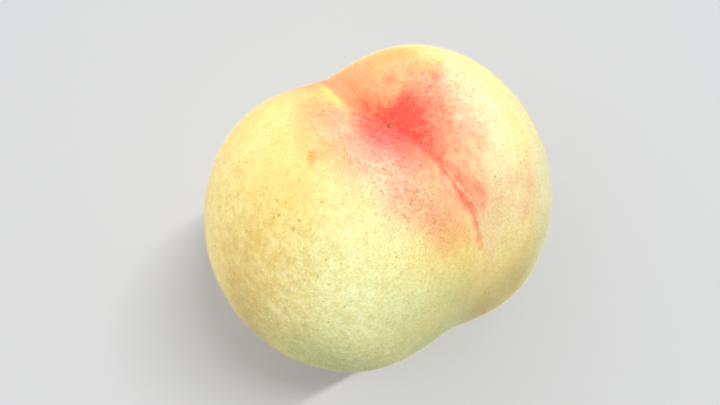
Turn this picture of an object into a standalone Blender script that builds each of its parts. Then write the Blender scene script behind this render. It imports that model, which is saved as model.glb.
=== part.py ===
"""A whole white peach, as picked, standing on its stem-end shoulders with the blossom end up.

Metres, +Z up. The suture is the groove between the two lobes: it runs from the blossom end down the
+X side to the stem end underneath, and fades out on the -X side. The larger lobe is at -Y and the
smaller one at +Y. The fruit is lopsided, so its blossom end leans back from straight up. The origin
is on the table, under the middle of the fruit's box.

The fruit's own axes have the blossom end at +Z. Directions and places below are in those axes, from
the middle of the fruit, unless they say otherwise.
"""
import math

import bmesh
import bpy
import numpy as np

MM = 0.001

# How far the body reaches from the middle of the fruit, before any groove is taken off it.
SUTURE_SIDE = 43.0 * MM
PLAIN_SIDE = 40.7 * MM
LARGE_LOBE = 44.8 * MM
SMALL_LOBE = 40.4 * MM
BLOSSOM_END = 47.4 * MM
STEM_END = 41.0 * MM
SIDE_SOFTNESS = 0.35

# The body is a little skewed: sideways travel for each unit of height.
SKEW_TO_SUTURE = 0.048
SKEW_TO_SMALL_LOBE = -0.031

# How far the blossom end leans from straight up when the fruit stands on its stem end, and
# the way it leans, as an angle from +X.
LEAN = math.radians(21.6)
LEAN_WAY = math.radians(141.2)

# The broad valley between the lobes. Widths and places on the fruit are angles in radians.
FRONT_VALLEY_DEPTH = 7.2 * MM
BACK_VALLEY_DEPTH = 8.1 * MM
BACK_VALLEY_LEFT_AT_STEM = 0.3
BACK_VALLEY_FADE_HEIGHT = 0.3
VALLEY_WIDTH = 0.47
VALLEY_SOFTNESS = 0.3

# The suture line wanders sideways as it goes down each side from the blossom end.
FRONT_SWAY = (-0.179, 0.147, -0.046)
BACK_SWAY = -0.046

# The crease is the narrow fold along the bottom of the valley, near the blossom end.
CREASE_DEPTH = 1.5 * MM
CREASE_WIDTH = 0.05
CREASE_FRONT_REACH = 0.9
CREASE_BACK_REACH = 0.7

# The hollow round the blossom end.
HOLLOW_DEPTH = 8.4 * MM
HOLLOW_WIDTH = 0.37
HOLLOW_PLACE = (-0.052, 0.006, 1.0)

# The funnel that the stem grew from, and the round corky scar at its bottom.
STEM_CAVITY_DEPTH = 11.5 * MM
STEM_CAVITY_WIDTH = 0.31
STEM_SCAR_RADIUS = 0.105
STEM_SCAR_EDGE = 0.03
STEM_SCAR_HEIGHT = 0.6 * MM

# The three low shoulders that the fruit stands on, spread round the stem cavity: the way to
# each, as an angle from +X on the table, and how far it swells out.
SHOULDER_SPREAD = math.radians(27)
SHOULDERS = (
    (math.radians(262), 2.1 * MM),
    (math.radians(40), 1.3 * MM),
    (math.radians(150), 1.4 * MM),
)
SHOULDER_WIDTH = 0.3

# The fruit's own weight presses the shoulders flat by this much where they touch the table.
SHOULDER_PRESS = 0.5 * MM

# Rows of faces along each edge of the cube that the skin grows from, and how far the rows
# draw together at the suture (1 is evenly spaced).
ROWS = 27
ROWS_AT_SUTURE = 0.6

SKIN_COLOUR = (0.90, 0.80, 0.42, 1.0)
SKIN_ROUGHNESS = 0.62


def blend(low, high, side, softness=SIDE_SOFTNESS):
    """A value that goes smoothly from low, where side is negative, to high, where it is positive."""
    share = 0.5 + 0.5 * np.tanh(side / softness)
    return low + (high - low) * share


def suture_sway(along):
    """The suture's sideways place, where along is the angle from the blossom end towards +X."""
    front = sum(size * np.sin(times * along) for times, size in enumerate(FRONT_SWAY, start=1))
    back = BACK_SWAY * np.sin(along)
    return np.where(along > 0, front, back)


def suture_angles(directions):
    """For each direction, how far along the suture it is, and how far off to its side."""
    x, y, z = directions.T
    along = np.arctan2(x, z)
    off = y - suture_sway(along) * np.hypot(x, z)
    return along, off


def body_radius(directions):
    """The two lobes and the two ends, as one egg-like body with a different reach each way."""
    x, y, z = directions.T
    reach_x = blend(PLAIN_SIDE, SUTURE_SIDE, x)
    reach_y = blend(LARGE_LOBE, SMALL_LOBE, y)
    reach_z = blend(STEM_END, BLOSSOM_END, z)
    return ((x / reach_x) ** 2 + (y / reach_y) ** 2 + (z / reach_z) ** 2) ** -0.5


def valley_depth(directions):
    """The broad valley: full depth down the suture side, fading on the plain side."""
    x, _, z = directions.T
    _, off = suture_angles(directions)
    back_at_stem = BACK_VALLEY_LEFT_AT_STEM * BACK_VALLEY_DEPTH
    back = blend(back_at_stem, BACK_VALLEY_DEPTH, z + BACK_VALLEY_FADE_HEIGHT)
    depth = blend(back, FRONT_VALLEY_DEPTH, x, VALLEY_SOFTNESS)
    return depth * np.exp(-(off / VALLEY_WIDTH) ** 2)


def crease_depth(directions):
    """The narrow fold along the suture, deepest at the blossom end."""
    along, off = suture_angles(directions)
    front = np.exp(-(np.maximum(along, 0) / CREASE_FRONT_REACH) ** 2)
    back = np.exp(-(np.minimum(along, 0) / CREASE_BACK_REACH) ** 2)
    return CREASE_DEPTH * front * back * np.exp(-np.abs(off) / CREASE_WIDTH)


def angle_from(directions, place):
    """The angle between each direction and the direction of a place on the fruit."""
    axis = np.array(place) / np.linalg.norm(place)
    return np.arccos(np.clip(directions @ axis, -1, 1))


def own_axes(turn, spread):
    """A direction given on the table, from straight down, in the fruit's own axes."""
    down = -math.cos(spread)
    ahead = math.sin(spread) * math.cos(turn - LEAN_WAY)
    aside = math.sin(spread) * math.sin(turn - LEAN_WAY)
    upright = ahead * math.sin(LEAN) + down * math.cos(LEAN)
    ahead = ahead * math.cos(LEAN) - down * math.sin(LEAN)
    x = ahead * math.cos(LEAN_WAY) - aside * math.sin(LEAN_WAY)
    y = ahead * math.sin(LEAN_WAY) + aside * math.cos(LEAN_WAY)
    return x, y, upright


def end_depth(directions):
    """The blossom end's hollow, and the stem cavity with its raised scar."""
    from_hollow = angle_from(directions, HOLLOW_PLACE)
    hollow = HOLLOW_DEPTH * np.exp(-(from_hollow / HOLLOW_WIDTH) ** 2)
    from_stem = angle_from(directions, own_axes(0, 0))
    cavity = STEM_CAVITY_DEPTH * np.exp(-(from_stem / STEM_CAVITY_WIDTH) ** 2)
    scar = blend(STEM_SCAR_HEIGHT, 0, from_stem - STEM_SCAR_RADIUS, STEM_SCAR_EDGE)
    return hollow + cavity - scar


def shoulder_swell(directions):
    """How far the three shoulders swell out of the stem end."""
    swell = np.zeros(len(directions))
    for turn, height in SHOULDERS:
        away = angle_from(directions, own_axes(turn, SHOULDER_SPREAD))
        swell += height * np.exp(-(away / SHOULDER_WIDTH) ** 2)
    return swell


def skin_points(directions):
    """The point of the skin in each direction from the middle of the fruit."""
    radius = body_radius(directions) - valley_depth(directions) - crease_depth(directions)
    radius = radius - end_depth(directions) + shoulder_swell(directions)
    points = directions * radius[:, None]
    points[:, 0] += SKEW_TO_SUTURE * points[:, 2]
    points[:, 1] += SKEW_TO_SMALL_LOBE * points[:, 2]
    return points


def skin_directions(cube):
    """Directions of the points of a gridded cube, with one row laid along the suture."""
    drawn = cube.copy()
    drawn[:, 1] *= ROWS_AT_SUTURE + (1 - ROWS_AT_SUTURE) * cube[:, 1] ** 2
    directions = np.tan(drawn * np.pi / 4)
    directions /= np.linalg.norm(directions, axis=1, keepdims=True)
    x, _, z = directions.T
    sway = suture_sway(np.arctan2(x, z)) * np.hypot(x, z)
    directions[:, 1] += sway * (1 - cube[:, 1] ** 2)
    return directions / np.linalg.norm(directions, axis=1, keepdims=True)


def lean_back(points):
    """Points in the fruit's own axes, turned so that +Z is straight up on the table."""
    way = np.array((math.cos(LEAN_WAY), math.sin(LEAN_WAY), 0))
    ahead, upright = points @ way, points[:, 2]
    leaned = ahead * math.cos(LEAN) + upright * math.sin(LEAN)
    height = upright * math.cos(LEAN) - ahead * math.sin(LEAN)
    turned = points + (leaned - ahead)[:, None] * way
    turned[:, 2] = height
    return turned


def settle_on_table(points):
    """Press the shoulders flat and put the origin on the table under the middle of the box."""
    table = points[:, 2].min() + SHOULDER_PRESS
    points[:, 2] = np.maximum(points[:, 2], table)
    low, high = points.min(axis=0), points.max(axis=0)
    middle = (low + high) / 2
    return points - (middle[0], middle[1], table)


def skin_mesh():
    """One closed skin, grown from a cube whose faces are cut into rows."""
    mesh = bmesh.new()
    bmesh.ops.create_cube(mesh, size=2.0)
    bmesh.ops.subdivide_edges(mesh, edges=mesh.edges[:], cuts=ROWS - 1, use_grid_fill=True)
    cube = np.array([vertex.co for vertex in mesh.verts])
    points = settle_on_table(lean_back(skin_points(skin_directions(cube))))
    for vertex, point in zip(mesh.verts, points):
        vertex.co = point
    bmesh.ops.triangulate(mesh, faces=mesh.faces[:], quad_method="SHORT_EDGE")
    bmesh.ops.recalc_face_normals(mesh, faces=mesh.faces[:])
    data = bpy.data.meshes.new("peach")
    mesh.to_mesh(data)
    mesh.free()
    data.shade_smooth()
    return data


def skin_material():
    """Pale lemon yellow skin, dulled by its short down."""
    material = bpy.data.materials.new("peach_skin")
    material.use_nodes = True
    shader = material.node_tree.nodes["Principled BSDF"]
    shader.inputs["Base Color"].default_value = SKIN_COLOUR
    shader.inputs["Roughness"].default_value = SKIN_ROUGHNESS
    shader.inputs["Metallic"].default_value = 0.0
    return material


def main():
    for item in list(bpy.data.objects):
        bpy.data.objects.remove(item)
    peach = bpy.data.objects.new("peach", skin_mesh())
    peach.data.materials.append(skin_material())
    bpy.context.collection.objects.link(peach)


main()
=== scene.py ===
"""The looks of the white peach: its downy skin with blush and suture, its scars, the light and camera.

The skin comes from the formula that the CAD solid has, with finer rows and low relief, and stands for
the node "peach". Metres, +Z up, in the CAD's frame.

The fruit's own axes have the blossom end at +Z, the suture at +X and the smaller lobe at +Y. Colours
are placed on a map of the skin, seen from above the blossom end: degrees from the blossom end towards
the suture, and degrees towards the smaller lobe.
"""

import math
from collections import namedtuple

import bmesh
import bpy
import numpy as np
from mathutils import Matrix, Vector, noise


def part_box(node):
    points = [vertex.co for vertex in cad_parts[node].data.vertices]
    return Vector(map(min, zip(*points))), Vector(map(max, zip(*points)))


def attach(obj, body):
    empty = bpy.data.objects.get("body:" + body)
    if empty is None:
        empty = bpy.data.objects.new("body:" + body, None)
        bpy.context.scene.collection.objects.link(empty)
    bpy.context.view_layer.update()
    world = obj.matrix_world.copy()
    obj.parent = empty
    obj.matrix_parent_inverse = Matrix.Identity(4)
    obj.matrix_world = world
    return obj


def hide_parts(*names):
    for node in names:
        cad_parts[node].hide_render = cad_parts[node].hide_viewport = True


MM = 0.001


def table(kind, rows):
    """Rows of numbers, each as a named tuple of the given kind."""
    return tuple(kind(*row) for row in rows)


# The shape of the fruit, as in the CAD source. Lengths are reaches from its middle; widths and
# places on it are angles in radians.
SUTURE_SIDE = 43.0 * MM
PLAIN_SIDE = 40.7 * MM
LARGE_LOBE = 44.8 * MM
SMALL_LOBE = 40.4 * MM
BLOSSOM_END = 47.4 * MM
STEM_END = 41.0 * MM
SIDE_SOFTNESS = 0.35
SKEW_TO_SUTURE = 0.048
SKEW_TO_SMALL_LOBE = -0.031
LEAN = math.radians(21.6)
LEAN_WAY = math.radians(141.2)
FRONT_VALLEY_DEPTH = 7.2 * MM
BACK_VALLEY_DEPTH = 8.1 * MM
BACK_VALLEY_LEFT_AT_STEM = 0.3
BACK_VALLEY_FADE_HEIGHT = 0.3
VALLEY_WIDTH = 0.47
VALLEY_SOFTNESS = 0.3
FRONT_SWAY = (-0.179, 0.147, -0.046)
BACK_SWAY = -0.046
CREASE_DEPTH = 1.5 * MM
CREASE_WIDTH = 0.05
CREASE_FRONT_REACH = 0.9
CREASE_BACK_REACH = 0.7
HOLLOW_DEPTH = 8.4 * MM
HOLLOW_WIDTH = 0.37
HOLLOW_PLACE = (-0.052, 0.006, 1.0)
STEM_CAVITY_DEPTH = 11.5 * MM
STEM_CAVITY_WIDTH = 0.31
STEM_SCAR_RADIUS = 0.105
STEM_SCAR_EDGE = 0.03
STEM_SCAR_HEIGHT = 0.6 * MM
SHOULDER_SPREAD = math.radians(27)
SHOULDERS = (
    (math.radians(262), 2.1 * MM),
    (math.radians(40), 1.3 * MM),
    (math.radians(150), 1.4 * MM),
)
SHOULDER_WIDTH = 0.3
SHOULDER_PRESS = 0.5 * MM

# Rows of faces along each edge of the cube that the skin grows from, and how far they draw
# together at the suture (1 is evenly spaced).
ROWS = 124
ROWS_AT_SUTURE = 0.6

# Low relief on the skin: how high each kind is, and how wide its bumps are.
SWELL_HEIGHT = 0.22 * MM
SWELL_SIZE = 11 * MM
DIMPLE_HEIGHT = 0.05 * MM
DIMPLE_SIZE = 3.5 * MM
WRINKLE_HEIGHT = 0.09 * MM
WRINKLE_MIDDLE = math.radians(12)
WRINKLE_REACH = math.radians(24)
SIDE_GROOVE_DEPTH = 0.16 * MM
SIDE_GROOVE_OFF = 0.075
SIDE_GROOVE_WIDTH = 0.02
SIDE_GROOVE_MIDDLE = 0.64
SIDE_GROOVE_REACH = 0.16
CORK_RIPPLE_HEIGHT = 0.18 * MM
CORK_RIPPLE_SIZE = 1.2 * MM

# How far apart in the noise two fields with seeds one apart are.
NOISE_STEP = (7.31, 3.17, 5.53)

# Noise that runs in streaks down from the blossom end: how fine it is round the fruit, and along it.
MERIDIAN_ROUND = 12
MERIDIAN_ALONG = 2.5

# How much of its cell of the bake map each side of the skin's cube fills.
BAKE_FILL = 0.96

# Skin colours.
LEMON = (0.95, 0.69, 0.20)
CREAM = (0.96, 0.96, 0.47)
GREEN = (0.53, 0.58, 0.23)
SAND = (0.78, 0.79, 0.44)
OCHRE = (0.56, 0.43, 0.12)
HONEY = (0.74, 0.50, 0.11)
PEACH = (0.96, 0.46, 0.43)
YELLOW = (0.97, 0.86, 0.16)
GOLD = (0.96, 0.61, 0.10)
ORANGE = (0.96, 0.30, 0.14)
PINK = (0.96, 0.13, 0.08)
RED = (0.96, 0.08, 0.05)
CRIMSON = (0.66, 0.05, 0.04)
OLIVE = (0.55, 0.37, 0.06)
BROWN = (0.80, 0.36, 0.08)
WHITE = (0.98, 0.96, 0.80)
FLECK = (0.98, 0.96, 0.70)
PALE = (0.97, 0.76, 0.55)
CORK = (0.30, 0.19, 0.10)
CORK_LIGHT = (0.57, 0.361, 0.19)

# A patch of colour on the map: its middle, half its length and width and the turn of its
# length from the suture, all in degrees, and how strong it is from 0 to 1.
Patch = namedtuple("Patch", "suture lobe length width turn share")

# How far a patch has faded at its edge, as a power of e, and how steeply it fades there.
PATCH_FADE = 0.7
PATCH_STEEPNESS = 2.4

# Soft washes of colour, each laid over the ones before it, and how far their edges stray. Some washes
# carry painted highlight and painted shade as well as the skin's own colours.
WASHES = (
    # Cream: the skin's own pale colour, and in this wash's two full-strength patches, on the middle of
    # the large lobe and on the small lobe near the blossom end, partly painted highlight where the key
    # light falls fullest.
    (CREAM, table(Patch, (
        (15, 85, 45, 30, 0, 0.5), (41, -38, 22, 35, 20, 1), (13, 20, 48, 16, -15, 1),
        (41, 31, 15, 3, -5, 0.55), (-18, -29, 11, 4, -55, 0.2), (-14, -66, 14, 38, -5, 0.3),
        (-96, -10, 40, 70, -25, 0.5), (128, -35, 32, 75, -25, 0.45), (40, 105, 60, 30, -20, 0.4),
    ))),
    # Green: partly the skin's greenish ground colour and partly painted shade; its three broad patches
    # low on the sides darken the skin where it turns away from the light.
    (GREEN, table(Patch, (
        (112, -70, 25, 55, -40, 0.5), (61, -71, 15, 37, -75, 0.95), (82, -26, 12, 29, -25, 0.9),
        (61, -18, 12, 8, 50, 0.4), (70, -24, 8, 9, 0, 0.35), (53, -35, 6, 9, -30, 0.22),
        (60, -38, 9, 12, 0, 0.25),
    ))),
    # Sand: a pale greenish band along the small lobe's outer side, partly the skin's own colour and
    # partly painted shade, darker than the light there makes it.
    (SAND, table(Patch, (
        (66, 60, 42, 24, -10, 0.85), (64, 42, 38, 9, -10, 0.8), (57, 32, 35, 5, -10, 0.7),
        (89, 14, 9, 25, 45, 0.25),
    ))),
    # Ochre: a tan band along the large lobe's outer edge and tan round the foot of the suture, partly
    # the skin's own colour and partly painted shade where the skin turns away from the light.
    (OCHRE, table(Patch, (
        (22, -98, 10, 33, 25, 0.75), (90, -1, 12, 35, 35, 0.6), (84, 20, 10, 8, 0, 0.55),
        (82, -6, 8, 7, 0, 0.25), (70, -14, 8, 6, 0, 0.3), (97, 1, 9, 14, 0, 0.6),
    ))),
    (PEACH, table(Patch, (
        (36, 4, 29, 10, 50, 0.2), (56, 2, 11, 3, -15, 0.25), (11, 19, 17, 11, -10, 0.35),
        (25, -17, 9, 4, -55, 0.38), (11, -13, 11, 7, -65, 0.6), (5, -9, 9, 15, -60, 0.75),
        (43, 26, 8, 5, -30, 0.3), (51, 8, 8, 5, 0, 0.2),
    ))),
    (GOLD, table(Patch, (
        (47, -17, 17, 7, 45, 0.35), (48, -11, 8, 5, 45, 0.2), (-24, 20, 14, 5, 40, 0.75),
        (2, 33, 8, 5, 30, 0.15), (-7, 22, 3, 5, -10, 0.45), (25, 29.5, 15, 2.2, -8, 0.2),
        (-15, 23, 10, 6, 20, 0.2), (-22, -29, 9, 8, 0, 0.12), (31, 26, 6, 3, 0, 0.12),
        (51, 8, 7, 4, 0, 0.15),
    ))),
    (ORANGE, table(Patch, (
        (-30, 2, 12, 18, -40, 0.8), (-17, -1, 5, 4, 0, 0.25), (-20, 8, 6, 7, 0, 0.15),
        (-15, 7, 6, 5, 0, 0.25), (-20, 1, 6, 4, 0, 0.2), (-14, 13, 3, 2, -5, 0.6),
        (20, -10, 7, 3, 5, 0.25), (47, -6, 6, 3, 30, 0.3), (-29, 21, 6, 4, 0, 0.15),
    ))),
    (CREAM, table(Patch, ((-6, -12, 14, 2, -15, 0.45), (-4, -9, 6, 3, -65, 0.8)))),
)
WASH_WANDER = 1.2
WASH_WANDER_SIZE = 6 * MM

# Where the skin is pink, and where it is red.
PINK_BLUSH = table(Patch, (
    (6, -24, 9, 5, 35, 0.2), (36, -15, 13, 5, 15, 0.4), (37, -4, 10, 7, 65, 0.4),
    (-2, 17, 16, 5, -15, 0.42), (-11, -17, 9, 6, -15, 0.3), (43, 11, 4, 3, 10, 0.1),
    (42, 25, 5, 1.5, -5, 0.13), (42, 19.5, 3, 2, 0, 0.14), (52, 19, 4, 3, 0, 0.14),
    (45, 15, 6, 1.5, -5, 0.12), (40, 17, 3, 2, 0, 0.1), (25, 11, 6, 5, 0, 0.12),
    (5, -9, 7, 5, 0, 0.15), (2, -10.5, 9, 3.5, -17, 0.58), (21, -5, 6, 4, 0, 0.1),
    (6, -17, 8, 5, -40, 0.08), (22, 12, 5, 5, 0, 0.08), (0, 9, 6, 4, -5, 0.8),
    (10, -8, 12, 3, -10, 0.25),
))
RED_BLUSH = table(Patch, (
    (3, 3.5, 12.5, 8.5, -5, 1), (12, 0, 18, 10, 5, 0.65), (1, -4, 7, 3, -5, 0.5),
    (8, -4, 6, 3, 10, 0.25), (-5, -6, 13, 4, -30, 0.5), (-1, 21, 6, 2, -45, 0.3),
    (-12.5, 1.5, 4, 2.5, -5, 0.3), (3, -7.5, 6, 2, 10, 0.22),
))

# A stroke of colour beside the suture runs from bend to bend. Each bend has its place along the
# suture and off to its side, the stroke's half width to each hand, in radians, and its strength.
Bend = namedtuple("Bend", "along off left right share")
RED_STROKES = (
    table(Bend, (
        (0.08, 0, 0.03, 0.08, 0), (0.16, 0, 0.02, 0.09, 0.45),
        (0.25, -0.015, 0.014, 0.08, 0.65), (0.35, -0.022, 0.012, 0.06, 0.7),
        (0.42, -0.012, 0.035, 0.04, 0.75), (0.47, -0.018, 0.028, 0.022, 0.8),
        (0.51, -0.026, 0.018, 0.014, 0.7), (0.55, -0.028, 0.012, 0.012, 0),
    )),
    table(Bend, (
        (0.53, -0.026, 0.009, 0.009, 0), (0.58, -0.024, 0.014, 0.014, 0.75),
        (0.64, -0.014, 0.028, 0.03, 0.6), (0.69, -0.004, 0.028, 0.03, 0.7),
        (0.74, 0.002, 0.026, 0.024, 0.6), (0.79, 0.004, 0.02, 0.018, 0.58),
        (0.85, -0.001, 0.022, 0.018, 0.55), (0.91, -0.01, 0.022, 0.018, 0.5),
        (0.96, -0.012, 0.02, 0.018, 0.35), (1.01, -0.008, 0.012, 0.014, 0.12),
        (1.14, 0, 0.008, 0.01, 0),
    )),
    table(Bend, (
        (0.52, 0.012, 0.01, 0.01, 0), (0.57, 0.019, 0.01, 0.012, 0.4),
        (0.62, 0.022, 0.01, 0.012, 0.5), (0.68, 0.032, 0.01, 0.012, 0.3),
        (0.73, 0.038, 0.01, 0.012, 0),
    )),
)
PINK_STROKE = table(Bend, (
    (0.45, 0.03, 0.03, 0.02, 0), (0.5, 0.035, 0.03, 0.025, 0.25),
    (0.55, 0.045, 0.035, 0.03, 0.32), (0.61, 0.06, 0.045, 0.035, 0.35),
    (0.67, 0.09, 0.06, 0.03, 0.42), (0.71, 0.1, 0.06, 0.018, 0.5),
    (0.75, 0.085, 0.04, 0.018, 0.48), (0.79, 0.06, 0.03, 0.02, 0),
))
ORANGE_STROKE = table(Bend, (
    (-0.63, -0.075, 0.014, 0.1, 0), (-0.55, -0.088, 0.014, 0.1, 0.4),
    (-0.45, -0.105, 0.014, 0.12, 0.5), (-0.35, -0.118, 0.014, 0.13, 0.5),
    (-0.25, -0.13, 0.014, 0.12, 0.45), (-0.15, -0.144, 0.016, 0.1, 0.35),
    (-0.08, -0.15, 0.018, 0.08, 0.25), (0, -0.16, 0.02, 0.06, 0),
))
YELLOW_STROKE = table(Bend, (
    (-0.6, -0.12, 0.03, 0.02, 0), (-0.5, -0.13, 0.035, 0.02, 0.4),
    (-0.4, -0.145, 0.04, 0.022, 0.5), (-0.3, -0.155, 0.04, 0.022, 0.4),
    (-0.2, -0.165, 0.04, 0.02, 0.2), (-0.1, -0.18, 0.04, 0.02, 0),
))
PALE_STROKE = table(Bend, (
    (0.56, 0, 0.006, 0.006, 0), (0.6, 0.005, 0.006, 0.006, 0.35),
    (0.64, 0.01, 0.006, 0.006, 0.4), (0.69, 0.025, 0.007, 0.007, 0.35),
    (0.76, 0.04, 0.008, 0.008, 0.3), (0.82, 0.032, 0.008, 0.008, 0.3),
    (0.89, 0.035, 0.008, 0.01, 0.25), (0.97, 0.035, 0.008, 0.01, 0),
))

# How green the skin is round the stem end, and how far that reaches.
STEM_GREEN = 0.7
STEM_GREEN_REACH = math.radians(60)

# Where the skin is mottled, has whitish flecks, has dark and pale speckle, and has pale hairlines.
MOTTLED = table(Patch, ((22, -66, 44, 26, -20, 1.0), (0, 20, 14, 8, 0, 0.5)))
FLECKED = table(Patch, ((32, -60, 26, 12, -30, 1.0), (44, -44, 24, 16, -30, 0.9)))
SPECKLED = table(Patch, (
    (15, -15, 20, 9, -5, 1), (5, -9, 11, 7, -15, 0.9), (-6, -14, 14, 9, 0, 0.7),
    (30, -12, 14, 10, 0, 0.45), (6, 17, 17, 6, -5, 1), (17, 12, 12, 5, 0, 0.6),
    (-3, 20, 9, 6, 0, 0.6), (38, 8, 14, 14, 0, 0.3), (30, -50, 60, 22, -20, 0.15),
))
HAIRLINED = table(Patch, ((-5, -7, 5, 4, -30, 1.0),))

# Single specks on the map, in degrees, with their radius in millimetres and their strength.
Speck = namedtuple("Speck", "suture lobe radius share")
BLEMISH = table(Speck, (
    (2.2, -27.9, 1, 0.8), (3.3, -28.6, 1.1, 0.85), (4.4, -29, 0.9, 0.6),
    (1.8, -28.7, 0.6, 0.6),
))
OLIVE_SPECKS = table(Speck, (
    (15, -33.4, 0.45, 0.5), (8.6, -43.7, 0.4, 0.7), (7.9, -44.2, 0.35, 0.5),
    (13.7, -41.1, 0.35, 0.7), (14.1, -43.3, 0.4, 0.6), (-6.1, -47.6, 0.35, 0.55),
    (-3, -36.1, 0.3, 0.5), (-10.4, -40.6, 0.35, 0.6), (-7.6, 26, 0.5, 0.5),
    (-5.7, 25.4, 0.5, 0.4), (25.8, -61.8, 0.6, 0.4), (27.1, -46.8, 0.35, 0.4),
    (48, -22.4, 0.4, 0.4), (3.6, 0.6, 0.6, 0.22), (5.4, 0.3, 0.5, 0.15), (4.3, 22.2, 0.5, 0.35),
    (7.2, 19.3, 0.45, 0.4), (14.4, 18.5, 0.45, 0.4), (22.6, 15.7, 0.4, 0.4), (3.2, 24.9, 0.4, 0.4),
    (12.2, 18.3, 0.4, 0.3), (1.2, -41.2, 0.35, 0.5), (5.7, -41, 0.35, 0.35),
    (6.6, -34.1, 0.35, 0.45), (3.1, -52.8, 0.35, 0.5), (6.5, -48.1, 0.3, 0.4),
    (19.5, -43.9, 0.3, 0.4), (24.8, -59, 0.35, 0.5), (32.2, -50.8, 0.3, 0.4),
    (30.3, -46.2, 0.3, 0.4),
))
OCHRE_SPECKS = table(Speck, (
    (4.1, -49.4, 1.1, 0.3), (0.4, -57, 1.3, 0.35), (7.6, -52.7, 1.4, 0.35),
    (6.1, -57.9, 1.4, 0.35), (14.8, -49.6, 1.2, 0.3), (-0.9, -65, 1.2, 0.3),
    (-11.2, -56.5, 1.5, 0.35), (18.9, -49, 1.3, 0.35), (21.3, -52.5, 0.9, 0.4),
    (14.5, -68.6, 1.4, 0.35), (24.1, -46, 0.9, 0.3),
))
RED_SPECKS = table(Speck, (
    (-5.9, 19.5, 0.7, 0.35), (0.8, 20.2, 0.8, 0.6), (-0.8, 20.1, 0.7, 0.4), (0.7, 16.7, 1, 0.6),
    (-3.4, 16, 0.8, 0.4), (4.6, 19.4, 0.6, 0.3), (5.3, 14, 0.9, 0.45), (7.6, 16.2, 0.7, 0.4),
    (10, 13.5, 0.9, 0.25), (12.6, 12.5, 0.9, 0.25), (12.7, -18.4, 0.8, 0.25),
    (11.2, -22.4, 0.7, 0.2),
))
# Dark crimson specks. The first three, round the flower scar at the bottom of the hollow, are partly
# painted shade beside the scar; the rest are the skin's own darker red.
CRIMSON_SPECKS = table(Speck, (
    (-0.8, 1.5, 1.3, 0.3), (-3, -1.5, 1, 0.2), (2.2, 0, 1.2, 0.25), (-6.5, -6.5, 0.6, 0.3),
    (-3.5, -9, 0.6, 0.3), (26, -2.2, 0.8, 0.25), (40.5, -0.5, 0.6, 0.25),
))
PALE_SPECKS = table(Speck, (
    (22.8, -70, 0.3, 0.7), (27.8, -64.2, 0.3, 0.8), (26.9, -64.8, 0.3, 0.6),
    (32.9, -59.3, 0.35, 0.6), (38.7, -56.3, 0.35, 0.7), (39.2, -52.5, 0.35, 0.6),
    (36.4, -62, 0.3, 0.7), (41.5, -62.6, 0.3, 0.6), (24.5, -71, 0.3, 0.6),
    (18.1, -66.1, 0.3, 0.5),
))

# Soft edges of round marks, in shares of their radius: full inside the first, gone past the second.
DOT_EDGE = (0.6, 1.2)
SPOT_EDGE = (0.3, 1.2)

# Dots scattered over the skin: how far apart they are, their radius, and the share that is kept.
Dots = namedtuple("Dots", "spacing radius kept")
PALE_CELLS = Dots(0.85 * MM, 0.34 * MM, 0.65)
FRECKLES = Dots(0.7 * MM, 0.22 * MM, 0.45)
PORES = Dots(1.1 * MM, 0.18 * MM, 0.5)
LENTICELS = Dots(3.4 * MM, 0.28 * MM, 0.4)
SMALL_FLECKS = Dots(1.3 * MM, 0.22 * MM, 0.5)
LARGE_FLECKS = Dots(2.2 * MM, 0.5 * MM, 0.5)
PALE_CELL_SHARE = 0.3
FLECK_SHARE = 0.75

# Noise that strays round marks: the size of its bumps and how far it moves a point.
Stray = namedtuple("Stray", "size reach")
UNEVEN = Stray(0.9 * MM, 0.8 * MM)
RAGGED = Stray(0.8 * MM, 1.8 * MM)

# The skin's grains: how large each one's bumps are, its detail and its roughness. The streaks are
# sized in the places that meridian_places gives, the others in metres.
Grain = namedtuple("Grain", "size detail roughness", defaults=(0.5,))
CLOUD = Grain(5.0 * MM, 3)
PATCHES = Grain(2.6 * MM, 2)
CLUMPS = Grain(1.7 * MM, 2)
MOTTLE = Grain(1.5 * MM, 3)
FINE = Grain(0.48 * MM, 2, 0.6)
STIPPLE = Grain(0.55 * MM, 1)
STREAKS = Grain(0.8, 3)
GRAIN_RANGE = (0.25, 0.75)

# The tones that a grain moves a colour between: its dark one, and its light one.
CLOUD_TONES = ((0.96, 0.94, 0.88), (1.03, 1.06, 1.13))
CALM_TONES = ((0.96, 0.93, 0.86), (1.03, 1.06, 1.13))
PATCH_TONES = ((0.93, 0.87, 0.68), (1.05, 1.11, 1.27))
MOTTLE_TONES = ((0.89, 0.86, 0.77), (1.09, 1.12, 1.22))
FINE_TONES = ((0.91, 0.88, 0.74), (1.09, 1.12, 1.25))
STIPPLE_TONES = ((0.68, 0.46, 0.43), (1.12, 1.34, 1.38))
STREAK_TONES = ((0.97, 0.91, 0.88), (1.02, 1.08, 1.11))

# The tone that each kind of dark dot gives the skin.
PLAIN_TONE = (1.0, 1.0, 1.0)
FRECKLE_TONE = (0.86, 0.68, 0.62)
PORE_TONE = (0.86, 0.79, 0.62)
LENTICEL_TONE = (0.78, 0.70, 0.40)

# What breaks up the blush: the grains that it is blended from, with their shares, and how far
# they swing a colour's share.
PINK_GRAIN = (("clumps", 0.4), ("stipple", 0.3), ("streaks", 0.3))
PINK_SWING = 0.55
RED_GRAIN = (("clumps", 0.35), ("mottle", 0.25), ("stipple", 0.4))
RED_SWING = 0.75
RED_STRENGTH = 1.08
RED_STROKE_SWING = 0.4
PALE_STROKE_SWING = 0.5
GROOVE_STROKE_SWING = 0.3

# A brushed tint fades in over this much of its share.
BRUSHED_ONSET = 0.12

# Pale hairlines show where the streaks are stronger than the first number, fully at the second.
HAIRLINE_RANGE = (0.5, 0.8)
HAIRLINE_SHARE = 0.35

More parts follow.
